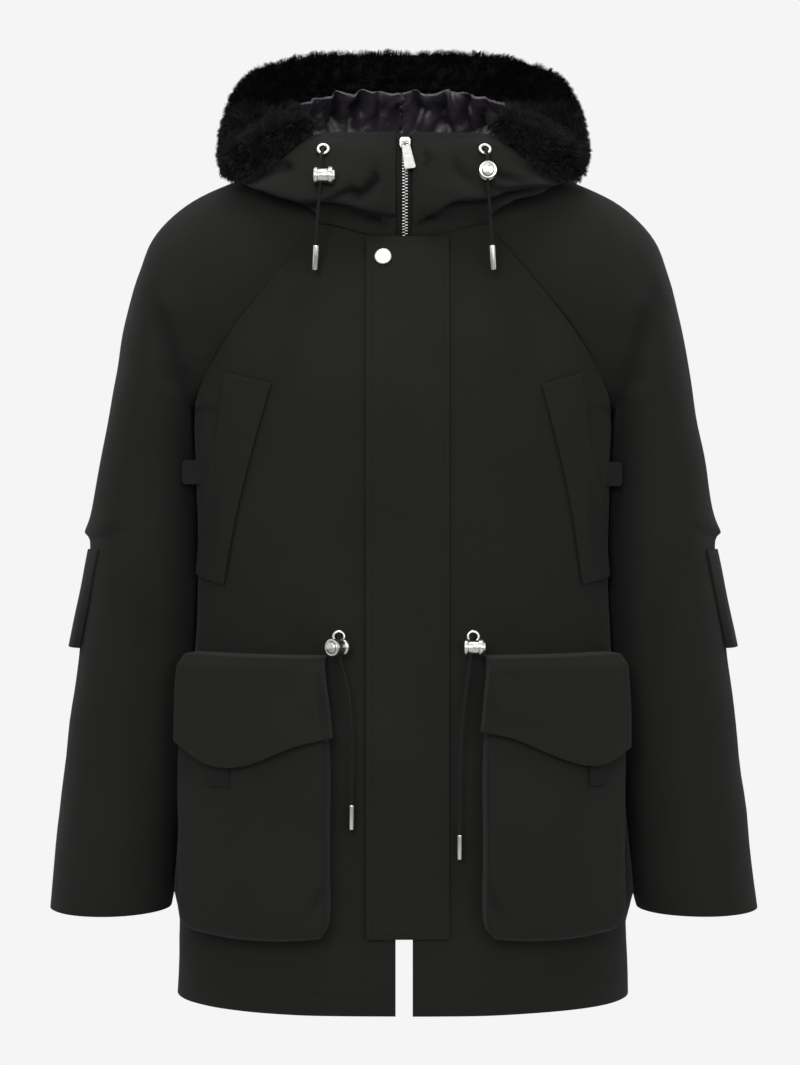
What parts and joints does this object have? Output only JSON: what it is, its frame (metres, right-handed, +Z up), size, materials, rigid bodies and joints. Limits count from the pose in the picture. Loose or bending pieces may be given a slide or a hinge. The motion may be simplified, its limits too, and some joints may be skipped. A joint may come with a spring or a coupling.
{
  "type": "hooded parka",
  "caption": "Hooded parka filled out with no wearer: raglan sleeves, fur-edged hood folded back, zip under a storm flap, bellows pockets, drawcords with metal locks.",
  "frame": {"origin": "middle of the shoulders at the neck, where the coat is held", "axes": "+Z up, the front faces -Y, +X is the right side as seen from the front"},
  "size_m": [0.784, 0.4228, 1.0759],
  "materials": {
    "shell": "matte woven cloth",
    "lining": "shiny nylon",
    "fur": "short dense pile",
    "webbing": "matte webbing",
    "cord": "braided cord",
    "metal": "polished"
  },
  "bodies": {
    "coat": {"front_left": "shell", "front_right": "shell", "back": "shell", "sleeve_left": "shell", "sleeve_right": "shell", "elbow_panel_left": "shell", "elbow_panel_right": "shell", "hood_left": "shell", "hood_right": "shell", "placket": "shell", "chest_welt_left": "shell", "chest_welt_right": "shell", "cargo_pocket_left": "shell", "cargo_pocket_right": "shell", "cargo_flap_left": "shell", "cargo_flap_right": "shell", "zip_tape_left": "webbing", "zip_tape_right": "webbing", "side_tab_left": "webbing", "side_tab_right": "webbing", "flap_tab_left": "webbing", "flap_tab_right": "webbing", "hood_cord_left": "cord", "hood_cord_right": "cord", "waist_cord_left": "cord", "waist_cord_right": "cord", "placket_snap": "metal", "zip_chain": "metal", "zip_slider": "metal", "hood_cord_end_left": "metal", "hood_cord_end_right": "metal", "waist_cord_end_left": "metal", "waist_cord_end_right": "metal", "hood_lock_left": "metal", "hood_lock_right": "metal", "waist_lock_left": "metal", "waist_lock_right": "metal", "hood_eyelet_left": "metal", "hood_eyelet_right": "metal", "waist_eyelet_left": "metal", "waist_eyelet_right": "metal", "hood_lining": "lining", "fur_trim": "fur"},
    "pull": {"zip_pull": "metal"},
    "button_hood_left": {"hood_lock_button_left": "metal"},
    "button_hood_right": {"hood_lock_button_right": "metal"},
    "button_waist_left": {"waist_lock_button_left": "metal"},
    "button_waist_right": {"waist_lock_button_right": "metal"}
  },
  "joints": [
    {"name": "zip_pull_hinge", "type": "hinge", "parent": "coat", "child": "pull", "pos_m": [0.002, -0.11827, 0.02854], "axis": [-0.9877, -0.064, -0.143], "range_deg": [0, 150]},
    {"name": "hood_left_button_slide", "type": "slide", "parent": "coat", "child": "button_hood_left", "axis": [-1, 0, 0], "range_m": [0, 0.002], "stiffness_N_per_m": 120},
    {"name": "hood_right_button_slide", "type": "slide", "parent": "coat", "child": "button_hood_right", "axis": [0, 1, 0], "range_m": [0, 0.002], "stiffness_N_per_m": 120},
    {"name": "waist_left_button_slide", "type": "slide", "parent": "coat", "child": "button_waist_left", "axis": [0.6428, 0.766, 0], "range_m": [0, 0.002], "stiffness_N_per_m": 120},
    {"name": "waist_right_button_slide", "type": "slide", "parent": "coat", "child": "button_waist_right", "axis": [-1, 0, 0], "range_m": [0, 0.002], "stiffness_N_per_m": 120}
  ]
}
